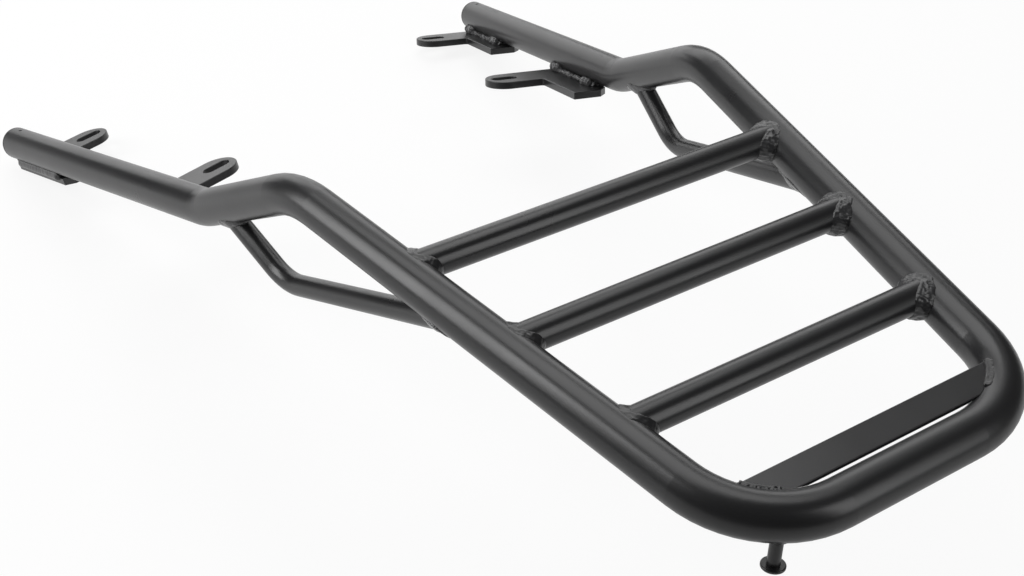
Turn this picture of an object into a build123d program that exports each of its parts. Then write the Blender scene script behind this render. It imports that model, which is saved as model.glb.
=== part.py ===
from build123d import *
from math import acos, cos, radians, sin, sqrt, tan
import os

# Welded luggage rack of bent round tube, in millimetres.
# +X is the right side, +Y the front of the motorcycle and +Z up, with the deck level.
# The origin is the middle of the four fixing slots, at the underside of the bracket plates.

# Round tube: outside diameter and wall
loop_diameter = 22.0
loop_wall = 2.0
crossbar_diameter = 16.0
crossbar_wall = 1.5
strut_diameter = 12.0
strut_wall = 1.5

# Main loop: a tapered U whose sides lie in upright planes
rear_half_width = 80.5
side_taper = 9.7
rail_length = 308.0
ramp_length = 111.0
ramp_drop = 34.2
leg_length = 269.0
leg_drop = 19.1
rear_corner_radius = 50.0
rail_bend_radius = 60.0
leg_bend_radius = 45.0

# Vent hole in the top of each leg, near its end
vent_diameter = 2.5
vent_from_end = 11.0

# Crossbars: setback of the first from the rear bar, and the pitch between them
crossbar_setback = 78.5
crossbar_pitch = 69.5
crossbar_top_drop = 1.0

# Side struts: joints on the rail and ramp axes, and the knee between them
strut_rail_joint = 172.0
strut_ramp_joint = 23.0
strut_knee_run = 322.5
strut_knee_depth = 69.5
strut_bend_radius = 32.0

# Bracket plates under the legs, each with its tab at the front end of the base
bracket_thickness = 5.0
bracket_base_width = 26.0
bracket_base_length = 79.0
bracket_base_chamfer = 6.0
bracket_tab_width = 28.0
bracket_tab_reach = 37.5
bracket_notch_radius = 2.0
bracket_edge_radius = 0.6
bracket_roll = 7.5
bracket_rear_station = 81.5
bracket_front_from_end = 17.5
bracket_rear_inset = 27.0
bracket_front_inset = 19.0
slot_width = 8.5
slot_length = 18.5
slot_from_tip = 13.5

# Strip between the rear corners
strip_thickness = 2.5
strip_front = 25.0
strip_rear_gap = 0.8
strip_top_drop = 3.0
strip_edge_radius = 0.4

# Strap knobs under the rear corners: turn around each corner from the rear bar, and lean outward
knob_turn_left = 30.5
knob_turn_right = 41.5
knob_lean = 11.0
knob_pin_diameter = 6.0
knob_pin_length = 13.5
knob_flange_diameter = 11.0
knob_flange_thickness = 1.6
knob_dome_diameter = 7.0
knob_dome_height = 1.5
knob_edge_radius = 0.5

# Plastic end plugs in the legs
plug_flange_thickness = 2.0
plug_flange_round = 0.8
plug_depth = 7.0

# Welds, and the room left for fitting up
crossbar_weld_leg = 3.0
strut_weld_leg = 1.8
bracket_weld_leg = 2.0
bracket_weld_inner_turn = 38.0
bracket_weld_outer_turn = 50.0
bracket_weld_end = 4.0
strip_weld_radius = 1.2
strip_weld_turn = 20.0
knob_weld_leg = 1.6
cope_gap = 0.2
bracket_root_gap = 0.8
plug_clearance = 0.1

# Length of the plain cylinders that a tube weld is shaped on
weld_form_length = 66.0

loop_radius = loop_diameter / 2
crossbar_radius = crossbar_diameter / 2
strut_radius = strut_diameter / 2
pin_radius = knob_pin_diameter / 2


def side_point(run, height):
    # A point of the right side plane: run is the plan distance from the rear corner.
    x = rear_half_width + run * sin(radians(side_taper))
    return Vector(x, run * cos(radians(side_taper)), height)


def to_left(part):
    return mirror(part, about=Plane.YZ)


# Corners of the right side's centre line, from the rear to the front
ramp_end_run = rail_length + ramp_length * cos(radians(ramp_drop))
ramp_end_height = -ramp_length * sin(radians(ramp_drop))
rear_corner = side_point(0, 0)
rail_end = side_point(rail_length, 0)
ramp_end = side_point(ramp_end_run, ramp_end_height)
leg_end = side_point(
    ramp_end_run + leg_length * cos(radians(leg_drop)),
    ramp_end_height - leg_length * sin(radians(leg_drop)),
)
rail_direction = (rail_end - rear_corner).normalized()
ramp_direction = (ramp_end - rail_end).normalized()
leg_direction = (leg_end - ramp_end).normalized()

# Centre of the right rear corner's bend, in plan
bend_reach = rear_corner_radius * tan(radians(90 - side_taper) / 2)
bend_centre = Vector(rear_half_width - bend_reach, rear_corner_radius, 0)

# Bracket frame of the right leg: x outward, y along the leg to the front, z up, rolled about y
leg_outward = (Vector(1, 0, 0) - leg_direction * leg_direction.X).normalized()
leg_up = leg_outward.cross(leg_direction)
bracket_outward = leg_outward * cos(radians(bracket_roll)) - leg_up * sin(radians(bracket_roll))
bracket_frame = Plane(origin=ramp_end, x_dir=bracket_outward, z_dir=bracket_outward.cross(leg_direction))
bracket_front_station = leg_length - bracket_front_from_end
bracket_top = -(loop_radius + bracket_root_gap)
bracket_bottom = bracket_top - bracket_thickness
slot_offset = bracket_tab_reach - slot_from_tip


def slot_seat(station, inset):
    # Middle of a slot, on the underside of the right leg's bracket.
    return bracket_frame.from_local_coords(Vector(-inset - slot_offset, station, bracket_bottom))


rear_seat = slot_seat(bracket_rear_station, bracket_rear_inset)
front_seat = slot_seat(bracket_front_station, bracket_front_inset)
seat_middle = (rear_seat + front_seat) / 2
row_place = Location((0, -seat_middle.Y, -seat_middle.Z))


def rod(path, radius):
    return sweep(Plane(origin=path @ 0, z_dir=path % 0) * Circle(radius), path=path)


def tube(path, diameter, wall):
    ring = Circle(diameter / 2) - Circle(diameter / 2 - wall)
    return sweep(Plane(origin=path @ 0, z_dir=path % 0) * ring, path=path)


def loop_path():
    right = [leg_end, ramp_end, rail_end, rear_corner]
    left = [Vector(-point.X, point.Y, point.Z) for point in reversed(right)]
    bends = [leg_bend_radius, rail_bend_radius, rear_corner_radius]
    return FilletPolyline(*right, *left, radius=bends + bends[::-1])


# The loop's outside, and the same with the fit-up gap for coping what is welded to it
loop_outside = rod(loop_path(), loop_radius)
loop_room = rod(loop_path(), loop_radius + cope_gap)


def main_loop():
    vent_plane = Plane(origin=leg_end - leg_direction * vent_from_end, z_dir=leg_up)
    vent = vent_plane * Cylinder(
        vent_diameter / 2, loop_diameter, align=(Align.CENTER, Align.CENTER, Align.MIN)
    )
    return tube(loop_path(), loop_diameter, loop_wall) - vent - to_left(vent)


def crossbar_end(index):
    # Where the crossbar's axis passes over the right rail's axis.
    y = crossbar_setback + index * crossbar_pitch
    x = rear_half_width + y * tan(radians(side_taper))
    return Vector(x, y, loop_radius - crossbar_radius - crossbar_top_drop)


def crossbar(index):
    end = crossbar_end(index)
    path = Line(Vector(-end.X, end.Y, end.Z), end)
    return tube(path, crossbar_diameter, crossbar_wall) - loop_room


def weld_ring(host_point, host_direction, branch, leg):
    # Flat fillet bead around a solid branch where it meets the loop's straight tube.
    host = Plane(origin=host_point, z_dir=host_direction) * Cylinder(loop_radius, 2 * weld_form_length)
    joined = host + branch
    seam = [edge for edge in joined.edges() if edge.geom_type not in (GeomType.LINE, GeomType.CIRCLE)]
    return chamfer(seam, leg) - host - branch


def crossbar_weld(index):
    end = crossbar_end(index)
    branch = rod(Line(end, end - Vector(weld_form_length, 0, 0)), crossbar_radius)
    return weld_ring(Vector(end.X, end.Y, 0), rail_direction, branch, crossbar_weld_leg)


strut_rail_point = side_point(strut_rail_joint, 0)
strut_ramp_point = ramp_end - ramp_direction * strut_ramp_joint
strut_knee = side_point(strut_knee_run, -strut_knee_depth)


def strut_path():
    return FilletPolyline(strut_rail_point, strut_knee, strut_ramp_point, radius=strut_bend_radius)


def strut():
    return tube(strut_path(), strut_diameter, strut_wall) - loop_room


def strut_rail_weld():
    return weld_ring(strut_rail_point, rail_direction, rod(strut_path(), strut_radius), strut_weld_leg)


def strut_ramp_weld():
    return weld_ring(strut_ramp_point, ramp_direction, rod(strut_path(), strut_radius), strut_weld_leg)


def bracket_outline(station, inset):
    front = station + bracket_tab_width / 2
    rear = front - bracket_base_length
    tab_rear = station - bracket_tab_width / 2
    outer = bracket_base_width - inset
    tab_end = -inset - bracket_tab_reach + bracket_tab_width / 2
    edge = Polyline(
        (tab_end, front),
        (outer, front),
        (outer, rear + bracket_base_chamfer),
        (outer - bracket_base_chamfer, rear),
        (-inset, rear),
        (-inset, tab_rear),
        (tab_end, tab_rear),
    )
    tip = (tab_end - bracket_tab_width / 2, station)
    plate = make_face(edge + ThreePointArc((tab_end, tab_rear), tip, (tab_end, front)))
    notch = plate.vertices().sort_by_distance((-inset, tab_rear, 0))[0]
    plate = fillet(notch, bracket_notch_radius)
    return plate - Pos(-inset - slot_offset, station) * SlotOverall(slot_length, slot_width)


def bracket(station, inset):
    plate = extrude(Pos(0, 0, bracket_bottom) * bracket_outline(station, inset), bracket_thickness)
    rims = plate.faces().sort_by(Axis.Z)[0].edges() + plate.faces().sort_by(Axis.Z)[-1].edges()
    return bracket_frame * fillet(rims, bracket_edge_radius)


def bracket_weld(station, inset):
    # Beads along both edges of the base, joined through the root gap under the leg.
    outer = bracket_base_width - inset
    inner_x = loop_radius * sin(radians(bracket_weld_inner_turn))
    inner_z = -loop_radius * cos(radians(bracket_weld_inner_turn))
    highest_x = loop_radius * sin(radians(bracket_weld_outer_turn))
    outer_x = min(max(outer, 0) + bracket_weld_leg, highest_x)
    section = make_face(
        Polyline(
            (-inner_x - bracket_weld_leg, bracket_top),
            (outer, bracket_top),
            (outer, bracket_top - bracket_weld_leg),
            (outer_x, -sqrt(loop_radius**2 - outer_x**2)),
            (0, inner_z / 2),
            (-inner_x, inner_z),
            close=True,
        )
    )
    front = station + bracket_tab_width / 2 - bracket_weld_end
    length = bracket_base_length - bracket_base_chamfer - 2 * bracket_weld_end
    bead = extrude(Plane.XZ.offset(-front) * (section - Circle(loop_radius)), length)
    return bracket_frame * bead


strip_top = loop_radius - strip_top_drop
strip_bottom = strip_top - strip_thickness


def half_chord(height):
    # Half the width of the loop's section at a height above its axis.
    return sqrt(loop_radius**2 - height**2)


# Radius of the strip's ends, about the centres of the rear corners' bends
strip_end_radius = rear_corner_radius - half_chord(strip_top) - cope_gap


def strip_end_point(y):
    return Vector(bend_centre.X + sqrt(strip_end_radius**2 - (rear_corner_radius - y) ** 2), y)


def strip():
    # Flat strip whose ends are cut round along the inside of the rear corners.
    rear = half_chord(strip_bottom) + cope_gap + strip_rear_gap
    front_right, rear_right = strip_end_point(strip_front), strip_end_point(rear)
    right_end = RadiusArc(rear_right, front_right, -strip_end_radius)
    front_edge = Line(front_right, (-front_right.X, front_right.Y))
    rear_edge = Line((-rear_right.X, rear_right.Y), rear_right)
    outline = make_face(Curve() + [right_end, front_edge, mirror(right_end, about=Plane.YZ), rear_edge])
    plate = extrude(Pos(0, 0, strip_bottom) * outline, strip_thickness)
    plate = fillet(plate.edges().filter_by(Axis.X), strip_edge_radius)
    return plate - loop_room


def strip_weld():
    # Half-round bead on top of the strip's right end, along the inside of the corner.
    front_turn = acos((rear_corner_radius - strip_front) / strip_end_radius)
    turns = [front_turn - radians(strip_weld_turn) * share for share in (0, 0.5, 1)]
    centre = bend_centre + Vector(0, 0, strip_top)
    path = ThreePointArc(*[centre + Vector(sin(turn), -cos(turn), 0) * strip_end_radius for turn in turns])
    half_disc = Circle(strip_weld_radius) & Pos(strip_weld_radius, 0) * Rectangle(
        2 * strip_weld_radius, 2 * strip_weld_radius
    )
    section = Plane(origin=path @ 0, x_dir=(0, 0, 1), z_dir=path % 0) * half_disc
    return sweep(section, path=path) - loop_outside


def knob_frame(turn):
    # Root of a knob on the right corner's centre line, with z up along its leaning pin.
    outward = Vector(sin(radians(turn)), -cos(radians(turn)), 0)
    pin_up = Vector(0, 0, cos(radians(knob_lean))) - outward * sin(radians(knob_lean))
    root = bend_centre + outward * rear_corner_radius
    return Plane(origin=root, x_dir=outward.cross(pin_up), z_dir=pin_up)


def knob(turn):
    flange_top = -loop_radius - knob_pin_length
    flange_bottom = flange_top - knob_flange_thickness
    dome_radius = knob_dome_diameter / 2
    edge = Polyline(
        (0, flange_bottom - knob_dome_height),
        (0, 0),
        (pin_radius, 0),
        (pin_radius, flange_top),
        (knob_flange_diameter / 2, flange_top),
        (knob_flange_diameter / 2, flange_bottom),
        (dome_radius, flange_bottom),
    )
    ball = (dome_radius**2 + knob_dome_height**2) / (2 * knob_dome_height)
    dome = RadiusArc((dome_radius, flange_bottom), (0, flange_bottom - knob_dome_height), ball)
    profile = make_face(edge + dome)
    rim = profile.vertices().sort_by(Axis.X)[-2:]
    profile = Plane.XZ * fillet(rim, knob_edge_radius)
    return knob_frame(turn) * revolve(profile, Axis.Z) - loop_room


def knob_weld(turn):
    reach = 2 * knob_weld_leg
    cone = Cone(
        pin_radius, pin_radius + reach, reach, align=(Align.CENTER, Align.CENTER, Align.MIN)
    ) - Cylinder(pin_radius, knob_pin_length)
    return knob_frame(turn) * Pos(0, 0, -loop_radius - knob_weld_leg) * cone - loop_outside


def end_plug():
    flange = Cylinder(loop_radius, plug_flange_thickness, align=(Align.CENTER, Align.CENTER, Align.MIN))
    flange = fillet(flange.edges().sort_by(Axis.Z)[-1], plug_flange_round)
    stem_radius = loop_radius - loop_wall - plug_clearance
    stem = Cylinder(stem_radius, plug_depth, align=(Align.CENTER, Align.CENTER, Align.MAX))
    return Plane(origin=leg_end, z_dir=leg_direction) * (flange + stem)


def write(name, part):
    export_step(row_place * part, f"parts/{name}.step")


def write_pair(name, right_part):
    write(f"{name}_right", right_part)
    write(f"{name}_left", to_left(right_part))


os.makedirs("parts", exist_ok=True)
write("main_loop", main_loop())
for index, place in enumerate(("rear", "middle", "front")):
    write(f"crossbar_{place}", crossbar(index))
    write_pair(f"weld_crossbar_{place}", crossbar_weld(index))
write_pair("strut", strut())
write_pair("weld_strut_rail", strut_rail_weld())
write_pair("weld_strut_ramp", strut_ramp_weld())
for place, station, inset in (
    ("rear", bracket_rear_station, bracket_rear_inset),
    ("front", bracket_front_station, bracket_front_inset),
):
    write_pair(f"bracket_{place}", bracket(station, inset))
    write_pair(f"weld_bracket_{place}", bracket_weld(station, inset))
write("rear_strip", strip())
write_pair("weld_strip", strip_weld())
for name, shape in (("strap_knob", knob), ("weld_knob", knob_weld)):
    write(f"{name}_right", shape(knob_turn_right))
    write(f"{name}_left", to_left(shape(knob_turn_left)))
write_pair("end_plug", end_plug())
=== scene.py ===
import math
import random

import bpy
from mathutils import Matrix, Vector


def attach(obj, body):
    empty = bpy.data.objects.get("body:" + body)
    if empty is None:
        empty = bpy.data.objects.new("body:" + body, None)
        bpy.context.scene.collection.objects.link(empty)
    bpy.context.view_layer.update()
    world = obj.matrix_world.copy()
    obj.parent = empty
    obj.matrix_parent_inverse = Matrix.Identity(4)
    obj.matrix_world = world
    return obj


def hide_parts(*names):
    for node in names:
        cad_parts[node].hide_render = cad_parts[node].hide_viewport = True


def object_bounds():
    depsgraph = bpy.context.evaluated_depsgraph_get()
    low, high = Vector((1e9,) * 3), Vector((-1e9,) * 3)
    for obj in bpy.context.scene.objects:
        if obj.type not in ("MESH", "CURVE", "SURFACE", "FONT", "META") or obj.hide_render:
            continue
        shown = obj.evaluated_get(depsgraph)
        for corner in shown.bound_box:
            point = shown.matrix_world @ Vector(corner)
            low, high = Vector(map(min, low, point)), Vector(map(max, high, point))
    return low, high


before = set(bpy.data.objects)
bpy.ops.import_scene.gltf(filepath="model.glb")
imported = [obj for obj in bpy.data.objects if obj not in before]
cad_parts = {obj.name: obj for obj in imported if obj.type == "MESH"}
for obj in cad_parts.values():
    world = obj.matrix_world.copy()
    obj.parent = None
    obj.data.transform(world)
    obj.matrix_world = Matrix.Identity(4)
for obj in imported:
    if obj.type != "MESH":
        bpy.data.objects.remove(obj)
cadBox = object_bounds()
scene = bpy.context.scene
scene.view_settings.view_transform = "Standard"
print("frame loaded,", len(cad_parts), "CAD nodes")


# small tools

millimetre = 0.001


def hexColour(code):
    # sRGB hex to linear, as shader sockets want it
    channels = [int(code[i:i + 2], 16) / 255 for i in (1, 3, 5)]
    linear = [c / 12.92 if c <= 0.04045 else ((c + 0.055) / 1.055) ** 2.4 for c in channels]
    return (*linear, 1.0)


def perMetre(millimetres):
    # texture scale that gives one cell for each stated size
    return 1000.0 / millimetres


def addNode(tree, kind, settings=None, links=None):
    # a key is a property, or a socket by name or number; links give the output socket for an input
    node = tree.nodes.new(kind)
    for key, value in (settings or {}).items():
        if isinstance(key, int) or key in node.inputs:
            node.inputs[key].default_value = value
        else:
            setattr(node, key, value)
    for key, source in (links or {}).items():
        tree.links.new(source, node.inputs[key])
    return node


def newMaterial(name):
    material = bpy.data.materials.new(name)
    material.use_nodes = True
    material.node_tree.nodes.clear()
    return material, material.node_tree


def deselectAll():
    if bpy.context.object and bpy.context.object.mode != "OBJECT":
        bpy.ops.object.mode_set(mode="OBJECT")
    bpy.ops.object.select_all(action="DESELECT")


def applyModifiers(piece):
    bpy.context.view_layer.objects.active = piece
    for modifier in list(piece.modifiers):
        bpy.ops.object.modifier_apply(modifier=modifier.name)


def keepLargest(piece):
    # a voxel remesh can leave specks of a few faces inside
    name = piece.name
    bpy.ops.object.mode_set(mode="EDIT")
    bpy.ops.mesh.select_all(action="SELECT")
    bpy.ops.mesh.separate(type="LOOSE")
    bpy.ops.object.mode_set(mode="OBJECT")
    shells = sorted(bpy.context.selected_objects, key=lambda shell: len(shell.data.vertices))
    kept = shells.pop()
    for speck in shells:
        bpy.data.objects.remove(speck)
    kept.name = name
    bpy.context.view_layer.objects.active = kept
    return kept


# materials

coatLook = {
    "colour": "#1e1e1f", "paleColour": "#242425",
    "cloudMm": 60.0,        # slow change of the film along a tube
    "formMm": 16.0,         # shallow waves of drawn tube under the film
    "peelMm": 2.2,          # orange peel of the cured film
    "grainMm": 0.7,         # sandy texture, really about 0.2 mm, drawn coarser so that it shows
    "pinholeMm": 15.0, "pinholeSize": 0.26, "pinholeColour": "#080808",
    "roughness": (0.27, 0.35), "cloudSpan": (0.3, 0.7), "ior": 1.5,
    "bump": 0.3, "wave": 0.00010, "peel": 0.00006, "grain": 0.00003,
}
# the weld coat is a lighter copy of the powder coat: its lighter colour is painted light that lifts the
# shade in the weld corners
weldPaintedLightCoatLook = dict(coatLook, colour="#2c2c2d", paleColour="#363637", roughness=(0.24, 0.32), formMm=5.0,
                    pinholeMm=5.0)
# a still lighter, glossier copy for the beads under the legs: its lighter colour is a painted glint over
# their shaded undersides
beadPaintedGlintCoatLook = dict(weldPaintedLightCoatLook, colour="#464647", paleColour="#555556", roughness=(0.18, 0.26))


def satinPowderCoat(name, look):
    # Satin black polyester powder coat, sprayed dry and cured: soft highlights with a faint orange
    # peel, a fine sandy grain that breaks up their edges, and a few pinholes where gas came out.
    material, tree = newMaterial(name)
    place = addNode(tree, "ShaderNodeTexCoord").outputs["Object"]

    def noise(millimetres, detail):
        node = addNode(tree, "ShaderNodeTexNoise",
                       {"Scale": perMetre(millimetres), "Detail": detail, "Roughness": 0.5},
                       {"Vector": place})
        return node.outputs["Fac"]

    grain = noise(look["grainMm"], 2.0)
    tint = addNode(tree, "ShaderNodeMix",
                   {"data_type": "RGBA", 6: hexColour(look["colour"]), 7: hexColour(look["paleColour"])},
                   {0: grain})
    cells = addNode(tree, "ShaderNodeTexVoronoi", {"Scale": perMetre(look["pinholeMm"])}, {"Vector": place})
    pinhole = addNode(tree, "ShaderNodeMath",
                      {"operation": "LESS_THAN", 1: look["pinholeSize"] / look["pinholeMm"]},
                      {0: cells.outputs["Distance"]})
    dotted = addNode(tree, "ShaderNodeMix", {"data_type": "RGBA", 7: hexColour(look["pinholeColour"])},
                     {0: pinhole.outputs["Value"], 6: tint.outputs[2]})
    low, high = look["roughness"]
    thin, thick = look["cloudSpan"]
    rough = addNode(tree, "ShaderNodeMapRange",
                    {"From Min": thin, "From Max": thick, "To Min": low, "To Max": high},
                    {"Value": noise(look["cloudMm"], 3.0)})
    normal = None
    for height, depth in ((noise(look["formMm"], 1.0), look["wave"]),
                          (noise(look["peelMm"], 2.0), look["peel"]),
                          (grain, look["grain"])):
        bump = addNode(tree, "ShaderNodeBump", {"Strength": look["bump"], "Distance": depth},
                       {"Height": height})
        if normal:
            tree.links.new(normal, bump.inputs["Normal"])
        normal = bump.outputs["Normal"]
    shader = addNode(tree, "ShaderNodeBsdfPrincipled", {"IOR": look["ior"], "Metallic": 0.0},
                     {"Base Color": dotted.outputs[2], "Roughness": rough.outputs["Result"],
                      "Normal": normal})
    addNode(tree, "ShaderNodeOutputMaterial", links={"Surface": shader.outputs["BSDF"]})
    return material


plugLook = {
    "colour": "#161617", "roughness": 0.62, "ior": 1.5,
    "grainMm": 0.5, "bump": 0.4, "depth": 0.00004,
}


def mouldedPlastic(name, look):
    # Matt black polyethylene of a pressed-in tube plug, with the fine spark-eroded grain of its mould.
    material, tree = newMaterial(name)
    place = addNode(tree, "ShaderNodeTexCoord").outputs["Object"]
    grain = addNode(tree, "ShaderNodeTexNoise", {"Scale": perMetre(look["grainMm"]), "Detail": 2.0},
                    {"Vector": place})
    bump = addNode(tree, "ShaderNodeBump", {"Strength": look["bump"], "Distance": look["depth"]},
                   {"Height": grain.outputs["Fac"]})
    shader = addNode(tree, "ShaderNodeBsdfPrincipled",
                     {"Base Color": hexColour(look["colour"]), "Roughness": look["roughness"],
                      "IOR": look["ior"]},
                     {"Normal": bump.outputs["Normal"]})
    addNode(tree, "ShaderNodeOutputMaterial", links={"Surface": shader.outputs["BSDF"]})
    return material


powderCoat = satinPowderCoat("satin black powder coat", coatLook)
# the two weld coats are lighter copies of the powder coat, with painted light over the shaded beads
weldPaintedLightCoat = satinPowderCoat("weld powder coat lightened by painted light", weldPaintedLightCoatLook)
beadPaintedGlintCoat = satinPowderCoat("weld powder coat with painted glints", beadPaintedGlintCoatLook)
plugPlastic = mouldedPlastic("matt black moulded plastic", plugLook)
for name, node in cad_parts.items():
    for slot in node.material_slots:
        slot.material = plugPlastic if name.startswith("end_plug") else powderCoat
print("coat and plastic on the CAD nodes")


# weld beads: each CAD bead gets lumps of filler metal along its seam, fused by a voxel remesh

rack = {
    # centre lines of the right side in mm, as in the CAD
    "tubeRadius": 11.0, "deckAxis": Vector((0.0, -553.017, 129.375)),
    "railWay": Vector((0.168489, 0.985703, 0.0)), "rampWay": Vector((0.139354, 0.815257, -0.562083)),
    "legStart": Vector((147.863, -158.926, 66.983)), "legWay": Vector((0.159214, 0.931439, -0.327218)),
    "plateOut": Vector((0.978798, -0.192191, -0.070829)), "plateUp": Vector((0.128861, 0.309003, 0.942291)),
}
# how every bead is made: fewest balls in a row, the part of the row from its middle to a toe that they
# cover, their detail, and the merging and smoothing of the fused mesh
beadMaking = {
    "fewest": 3, "cover": 0.4, "ballDetail": 2, "seed": {"right": 3, "left": 7},
    "merge": 0.00001, "soften": 0.5, "skinPasses": 1, "midLevel": 0.5,
}


def seamLumps(host, hostWay, branch, branchWay, look, chance):
    # rows of balls across the seam of a branch and its host tube, from the toe on one to that on the other
    side = hostWay.cross(branchWay).normalized()
    up = branchWay.cross(side)
    balls = []
    phases = [chance.uniform(0, 2 * math.pi) for wave in look["waves"]]
    for i in range(look["rows"]):
        angle = 2 * math.pi * i / look["rows"]
        swell = sum(math.sin(wave * angle + phase) for wave, phase in zip(look["waves"], phases))
        swell /= len(phases)
        out = side * math.cos(angle) + up * math.sin(angle)
        across = branch + out * look["radius"] - host
        across -= hostWay * across.dot(hostWay)
        run = branchWay - hostWay * branchWay.dot(hostWay)
        half = across.dot(run) / run.dot(run)
        rest = (across.dot(across) - rack["tubeRadius"] ** 2) / run.dot(run)
        root = branch + out * look["radius"] + branchWay * (math.sqrt(max(half * half - rest, 0.0)) - half)
        hostOut = root - host
        hostOut = (hostOut - hostWay * hostOut.dot(hostWay)).normalized()
        lean = out.angle(hostOut) / 2
        # where the two surfaces lie almost flush the bead is a thin cap, or a long one on a slanting strut
        flush = max(math.cos(2 * lean), 0.0)
        toe = (look["toe"] + look["swell"] * swell) * (1 + look["flare"] * flush)
        middle = (out + hostOut).normalized()
        aside = (hostOut - out).normalized() * math.cos(lean)
        branchToe, hostToe = (toe * stretch for stretch in look["stretch"])
        first = root + (middle * math.sin(lean) + aside) * branchToe
        last = root + (middle * math.sin(lean) - aside) * hostToe
        count = max(beadMaking["fewest"], round((last - first).length / look["spacing"]) + 1)
        for k in range(count):
            share = 2 * k / (count - 1) - 1
            size = chance.uniform(*look["size"])
            bulge = look["bulge"] * (1 + swell) * (1 - flush) * (1 - share * share)
            place = first.lerp(last, 0.5 + beadMaking["cover"] * share) + middle * (bulge - size)
            balls.append((place, size))
    return balls


def growWeld(nodeName, balls, look, mirrored):
    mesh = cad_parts[nodeName].data.copy()
    bead = bpy.data.objects.new(nodeName + "_bead", mesh)
    scene.collection.objects.link(bead)
    deselectAll()
    bead.select_set(True)
    bpy.context.view_layer.objects.active = bead
    bpy.ops.object.mode_set(mode="EDIT")
    bpy.ops.mesh.select_all(action="SELECT")
    bpy.ops.mesh.remove_doubles(threshold=beadMaking["merge"])
    for place, size in balls:
        x, y, z = place * millimetre
        bpy.ops.mesh.primitive_ico_sphere_add(
            subdivisions=beadMaking["ballDetail"], radius=size * millimetre,
            location=(-x if mirrored else x, y, z))
    bpy.ops.object.mode_set(mode="OBJECT")
    fuse = bead.modifiers.new("fuse", "REMESH")
    fuse.mode = "VOXEL"
    fuse.voxel_size = look["voxel"]
    melt = bead.modifiers.new("melt", "SMOOTH")
    melt.factor, melt.iterations = beadMaking["soften"], look["melt"]
    for kind, size, depth in (("VORONOI", *look["crater"]), ("CLOUDS", *look["ripple"])):
        texture = bpy.data.textures.new(nodeName + kind, kind)
        texture.noise_scale = size * millimetre
        rough = bead.modifiers.new(kind, "DISPLACE")
        rough.texture = texture
        rough.texture_coords = "LOCAL"
        rough.mid_level = beadMaking["midLevel"]
        rough.strength = depth * millimetre * (look["calm"] if mirrored else 1.0)
    skin = bead.modifiers.new("skin", "SMOOTH")
    skin.factor, skin.iterations = beadMaking["soften"], beadMaking["skinPasses"]
    applyModifiers(bead)
    bead = keepLargest(bead)
    bpy.ops.object.shade_smooth()
    bead.data.materials.clear()
    bead.data.materials.append(look["coat"])
    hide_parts(nodeName)
    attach(bead, "root")


# In mm: toe is the bead's reach on either surface, stretched on the branch and on the host, swell its
# slow change in waves round the seam, flare its change where the surfaces lie flush. crater and ripple
# are size and depth of the roughness, and calm is its share on the left side. voxel is in metres.
crossbarWelds = {
    "setback": {"rear": 78.5, "middle": 148.0, "front": 217.5}, "halfWidth": 80.5, "rise": 2.0,
    "radius": 8.0, "rows": 44, "toe": 5.4, "swell": 1.0, "waves": (2, 3, 5), "flare": -0.62,
    "stretch": (1.45, 0.85), "size": (1.7, 2.1), "bulge": 0.35, "spacing": 2.0,
    "voxel": 0.00042, "melt": 7, "crater": (3.6, 0.9), "ripple": (1.4, 0.35), "calm": 0.5,
    "coat": weldPaintedLightCoat,
    # the left ends are laid thinner
    "left": {"toe": 3.7, "swell": 0.5, "bulge": 0.1, "stretch": (1.25, 0.9), "coat": powderCoat},
}
strutWelds = {
    "rail": Vector((109.480, -383.476, 129.375)), "ramp": Vector((144.658, -177.677, 79.911)),
    "knee": Vector((134.838, -235.127, 59.875)),
    "radius": 6.0, "rows": 56, "toe": 2.1, "swell": 0.3, "waves": (2, 3, 5), "flare": 1.4,
    "stretch": (1.0, 1.2), "size": (1.1, 1.3), "bulge": 0.25, "spacing": 1.5,
    "voxel": 0.00036, "melt": 10, "crater": (3.0, 0.35), "ripple": (1.4, 0.15), "calm": 0.8,
    "coat": beadPaintedGlintCoat,
}
knobWelds = {
    # root of each pin, the way it leans and the corner's own way there, with the left one mirrored
    "right": (Vector((71.452, -540.464, 129.375)), Vector((0.126434, -0.142908, -0.981627)),
              Vector((0.748956, 0.662620, 0.0))),
    "left": (Vector((63.698, -546.098, 129.375)), Vector((0.096843, -0.164406, -0.981627)),
             Vector((0.861629, 0.507538, 0.0))),
    "radius": 3.0, "rows": 18, "toe": 1.4, "swell": 0.3, "waves": (2, 3), "flare": 0.0,
    "stretch": (1.0, 1.0), "size": (0.7, 0.9), "bulge": 0.2, "spacing": 1.0,
    "voxel": 0.00026, "melt": 3, "crater": (2.0, 0.3), "ripple": (0.9, 0.15), "calm": 1.0,
    "coat": weldPaintedLightCoat,
}
bracketWelds = {
    # rows of lumps in mm: place across the leg, place above its axis, radius
    "rear": {"station": 81.5, "outer": (-0.6, -12.4, 2.4)},
    "front": {"station": 251.5, "outer": (6.6, -11.0, 3.0)},
    "inner": (-7.9, -10.7, 2.3), "start": (-8.2, -8.8, 4.3), "stop": (-8.4, -10.0, 4.0),
    "frontEnd": 8.0, "runs": {"inner": 58.0, "outer": 60.0}, "pitch": {"inner": 3.4, "outer": 0.6},
    # the hand's unsteadiness, and how much of it each row has
    "sway": {"along": 0.8, "across": 0.5, "up": 0.4, "size": 0.15},
    "unsteady": {"inner": 1.0, "outer": 0.15}, "meanSize": 0.95, "endLumps": 3,
    "voxel": 0.00042, "melt": 2, "crater": (3.0, 0.9), "ripple": (1.4, 0.4), "calm": 0.5,
    "coat": beadPaintedGlintCoat,
    # the left beads are laid smoother
    "left": {"melt": 16, "crater": (9.0, 0.6), "ripple": (3.0, 0.3), "coat": weldPaintedLightCoat},
}
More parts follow.
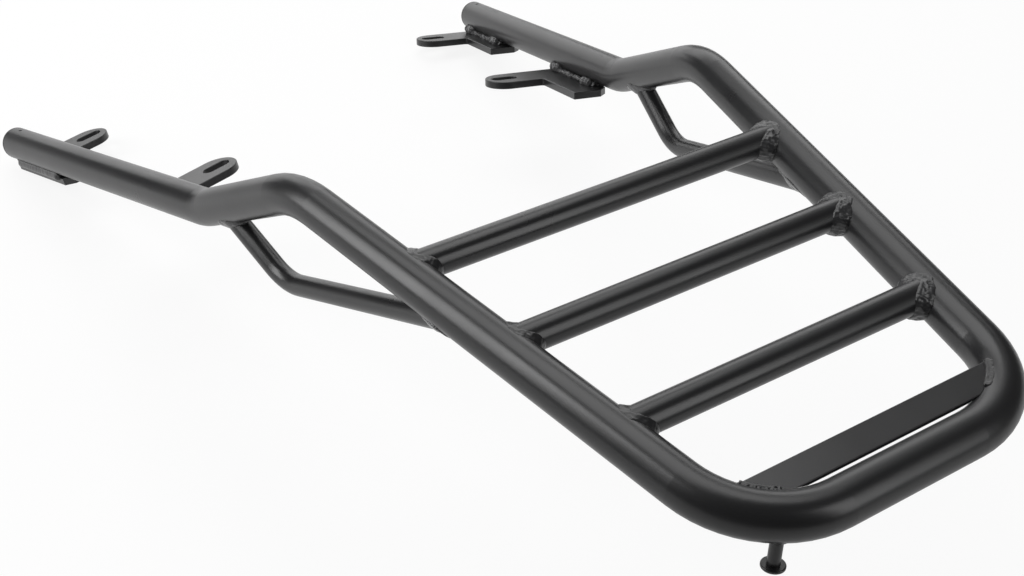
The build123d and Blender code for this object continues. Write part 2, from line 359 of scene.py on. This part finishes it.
stripWelds = {
    # a low cap onto the tube's shoulder at the right, a low row of lumps at the left; turns in degrees
    "bendCentre": Vector((38.322, -503.017, 0.0)), "sway": 0.8,
    "right": {"turns": (53.0, 31.0), "reach": (42.2, 44.7), "height": (137.42, 137.95), "size": (1.15, 1.25),
              "lumps": 22, "lanes": 4},
    "left": {"turns": (53.0, 31.0), "reach": (41.6, 43.6), "height": (136.7, 137.4), "size": (1.0, 1.5),
             "lumps": 11, "lanes": 2},
    "voxel": 0.00030, "melt": 3, "crater": (3.0, 0.18), "ripple": (1.4, 0.06), "calm": 1.5,
    "coat": powderCoat,
}


def bracketLumps(look, end, chance):
    # one row in the corner of leg and plate on each side of the leg
    balls = []

    def sway(way):
        return chance.uniform(-look["sway"][way], look["sway"][way])

    for edge, row in (("inner", look["inner"]), ("outer", look[end]["outer"])):
        pitch, unsteady = look["pitch"][edge], look["unsteady"][edge]
        steps = int(look["runs"][edge] / pitch)
        for i in range(steps + 1):
            station = look[end]["station"] + look["frontEnd"] - i * pitch
            station += unsteady * sway("along")
            # the arc starts and stops in a larger blob
            x, z, size = row
            if edge == "inner" and i < look["endLumps"]:
                x, z, size = look["start"]
            if edge == "inner" and i > steps - look["endLumps"]:
                x, z, size = look["stop"]
            place = (rack["legStart"] + rack["legWay"] * station
                     + rack["plateOut"] * (x + unsteady * sway("across"))
                     + rack["plateUp"] * (z + unsteady * sway("up")))
            balls.append((place, size * (look["meanSize"] + unsteady * sway("size"))))
    return balls


def stripLumps(look, side, chance):
    # lanes of lumps round the bend, from the strip's end to the tube
    balls = []
    row = look[side]
    first, last = row["turns"]
    for i in range(row["lumps"]):
        for lane in range(row["lanes"]):
            share = lane / (row["lanes"] - 1)
            turn = first + (last - first) * i / (row["lumps"] - 1)
            turn = math.radians(turn + chance.uniform(-look["sway"], look["sway"]))
            reach = row["reach"][0] + (row["reach"][1] - row["reach"][0]) * share
            height = row["height"][0] + (row["height"][1] - row["height"][0]) * share
            place = look["bendCentre"] + Vector((math.sin(turn) * reach, -math.cos(turn) * reach, height))
            balls.append((place, chance.uniform(*row["size"])))
    return balls


def makeWelds():
    for side, mirrored in (("right", False), ("left", True)):
        chance = random.Random(beadMaking["seed"][side])
        for end, setback in crossbarWelds["setback"].items():
            run = setback / rack["railWay"].y
            host = rack["deckAxis"] + Vector((crossbarWelds["halfWidth"], 0, 0)) + rack["railWay"] * run
            branch = host + Vector((0, 0, crossbarWelds["rise"]))
            look = dict(crossbarWelds, **crossbarWelds["left"]) if mirrored else crossbarWelds
            balls = seamLumps(host, rack["railWay"], branch, Vector((-1, 0, 0)), look, chance)
            growWeld(f"weld_crossbar_{end}_{side}", balls, look, mirrored)
        for tube in ("rail", "ramp"):
            joint = strutWelds[tube]
            way = (strutWelds["knee"] - joint).normalized()
            balls = seamLumps(joint, rack[tube + "Way"], joint, way, strutWelds, chance)
            growWeld(f"weld_strut_{tube}_{side}", balls, strutWelds, mirrored)
        pin, pinWay, barWay = knobWelds[side]
        balls = seamLumps(pin, barWay, pin, pinWay, knobWelds, chance)
        growWeld(f"weld_knob_{side}", balls, knobWelds, mirrored)
        look = dict(bracketWelds, **bracketWelds["left"]) if mirrored else bracketWelds
        for end in ("rear", "front"):
            growWeld(f"weld_bracket_{end}_{side}", bracketLumps(look, end, chance), look, mirrored)
        growWeld(f"weld_strip_{side}", stripLumps(stripWelds, side, chance), stripWelds, mirrored)


makeWelds()
print("weld beads grown")


# floor, light and camera

floorLook = {
    "colour": "#f4f4f4", "size": 14.0, "middle": (0, 0.05), "drop": 0.0005,
    # glossyWhite is the strength of the painted glow that glossy rays see, fading out over pool, in metres
    # from the floor's middle
    "seenWhite": 0.88, "glossyWhite": 0.6, "pool": (0.30, 0.65),
}


def makeFloor():
    # white paper sweep: the camera sees it near white with the shadow kept, glossy rays see the lit paper
    # with a painted pool of white glow round its middle, which shows as painted reflection in the coat
    deselectAll()
    bpy.ops.mesh.primitive_plane_add(size=floorLook["size"],
                                     location=(*floorLook["middle"], cadBox[0].z - floorLook["drop"]))
    floor = bpy.context.object
    floor.name = "studio_floor"
    material, tree = newMaterial("matt white paper sweep")
    rays = addNode(tree, "ShaderNodeLightPath")
    place = addNode(tree, "ShaderNodeTexCoord")
    away = addNode(tree, "ShaderNodeVectorMath", {"operation": "LENGTH"}, {0: place.outputs["Object"]})
    near, far = floorLook["pool"]
    pool = addNode(tree, "ShaderNodeMapRange",
                   {"From Min": near, "From Max": far, "To Min": floorLook["glossyWhite"], "To Max": 0.0},
                   {"Value": away.outputs["Value"]})
    mirrored = addNode(tree, "ShaderNodeMath", {"operation": "MAXIMUM"},
                       {0: rays.outputs["Is Glossy Ray"], 1: rays.outputs["Is Transmission Ray"]})
    mirroredShare = addNode(tree, "ShaderNodeMath", {"operation": "MULTIPLY"},
                            {0: mirrored.outputs["Value"], 1: pool.outputs["Result"]})
    share = addNode(tree, "ShaderNodeMath", {"operation": "MULTIPLY_ADD", 1: floorLook["seenWhite"]},
                    {0: rays.outputs["Is Camera Ray"], 2: mirroredShare.outputs["Value"]})
    paper = addNode(tree, "ShaderNodeBsdfDiffuse", {"Color": hexColour(floorLook["colour"])})
    white = addNode(tree, "ShaderNodeEmission", {"Color": (1, 1, 1, 1), "Strength": 1.0})
    mixed = addNode(tree, "ShaderNodeMixShader",
                    links={0: share.outputs["Value"], 1: paper.outputs["BSDF"],
                           2: white.outputs["Emission"]})
    addNode(tree, "ShaderNodeOutputMaterial", links={"Surface": mixed.outputs["Shader"]})
    floor.data.materials.append(material)


worldLook = {"light": "#ffffff", "strength": 0.05}


def makeWorld():
    world = bpy.data.worlds.new("studio")
    scene.world = world
    world.use_nodes = True
    tree = world.node_tree
    tree.nodes.clear()
    rays = addNode(tree, "ShaderNodeLightPath")
    room = addNode(tree, "ShaderNodeBackground",
                   {"Color": hexColour(worldLook["light"]), "Strength": worldLook["strength"]})
    white = addNode(tree, "ShaderNodeBackground", {"Color": (1, 1, 1, 1), "Strength": 1.0})
    mixed = addNode(tree, "ShaderNodeMixShader",
                    links={0: rays.outputs["Is Camera Ray"], 1: room.outputs["Background"],
                           2: white.outputs["Background"]})
    addNode(tree, "ShaderNodeOutputWorld", links={"Surface": mixed.outputs["Shader"]})


softBoxes = {
    # azimuth from +X towards +Y and elevation in degrees, width and height in metres
    "leftTall": {"at": (150, 28), "size": (0.6, 1.3), "watts": 15.0},
    "rearRightTall": {"at": (298, 28), "size": (0.5, 1.2), "watts": 6.0},
    "frontBroad": {"at": (58, 24), "size": (2.0, 0.7), "watts": 9.0},
    "frontSweep": {"at": (80, 3), "size": (1.25, 0.26), "watts": 1.9},
    "overhead": {"at": (75, 66), "size": (1.5, 1.1), "watts": 13.5},
}
lightAim = Vector((0.0, -0.35, 0.08))
lightReach = 1.6


def makeLights():
    for name, box in softBoxes.items():
        azimuth, elevation = (math.radians(a) for a in box["at"])
        way = Vector((math.cos(azimuth) * math.cos(elevation),
                      math.sin(azimuth) * math.cos(elevation), math.sin(elevation)))
        bpy.ops.object.light_add(type="AREA", location=lightAim + way * lightReach)
        lamp = bpy.context.object
        lamp.name = name
        lamp.data.shape = "RECTANGLE"
        lamp.data.size, lamp.data.size_y = box["size"]
        lamp.data.energy = box["watts"]
        lamp.rotation_euler = (-way).to_track_quat("-Z", "Y").to_euler()


photoCamera = {
    "lookAt": (-0.097948, -0.403017, 0.129375),
    "distance": 0.644449,
    "azimuth": -35.321, "elevation": 41.727, "roll": 3.259,
    "lens": 49.727, "sensor": 36.0,
    "shift": (-0.00472, 0.05232), "clipStart": 0.01,
}


def makeCamera():
    azimuth, elevation, roll = (math.radians(photoCamera[k]) for k in ("azimuth", "elevation", "roll"))
    back = Vector((math.sin(azimuth) * math.cos(elevation),
                   -math.cos(azimuth) * math.cos(elevation), math.sin(elevation)))
    turn = (-back).to_track_quat("-Z", "Y").to_matrix() @ Matrix.Rotation(roll, 3, "Z")
    bpy.ops.object.camera_add(location=Vector(photoCamera["lookAt"]) + back * photoCamera["distance"],
                              rotation=turn.to_euler())
    camera = bpy.context.object
    camera.name = "photo_camera"
    camera.data.sensor_width = photoCamera["sensor"]
    camera.data.lens = photoCamera["lens"]
    camera.data.shift_x, camera.data.shift_y = photoCamera["shift"]
    camera.data.clip_start = photoCamera["clipStart"]
    scene.camera = camera


makeFloor()
makeWorld()
makeLights()
makeCamera()
print("floor, light and camera set")
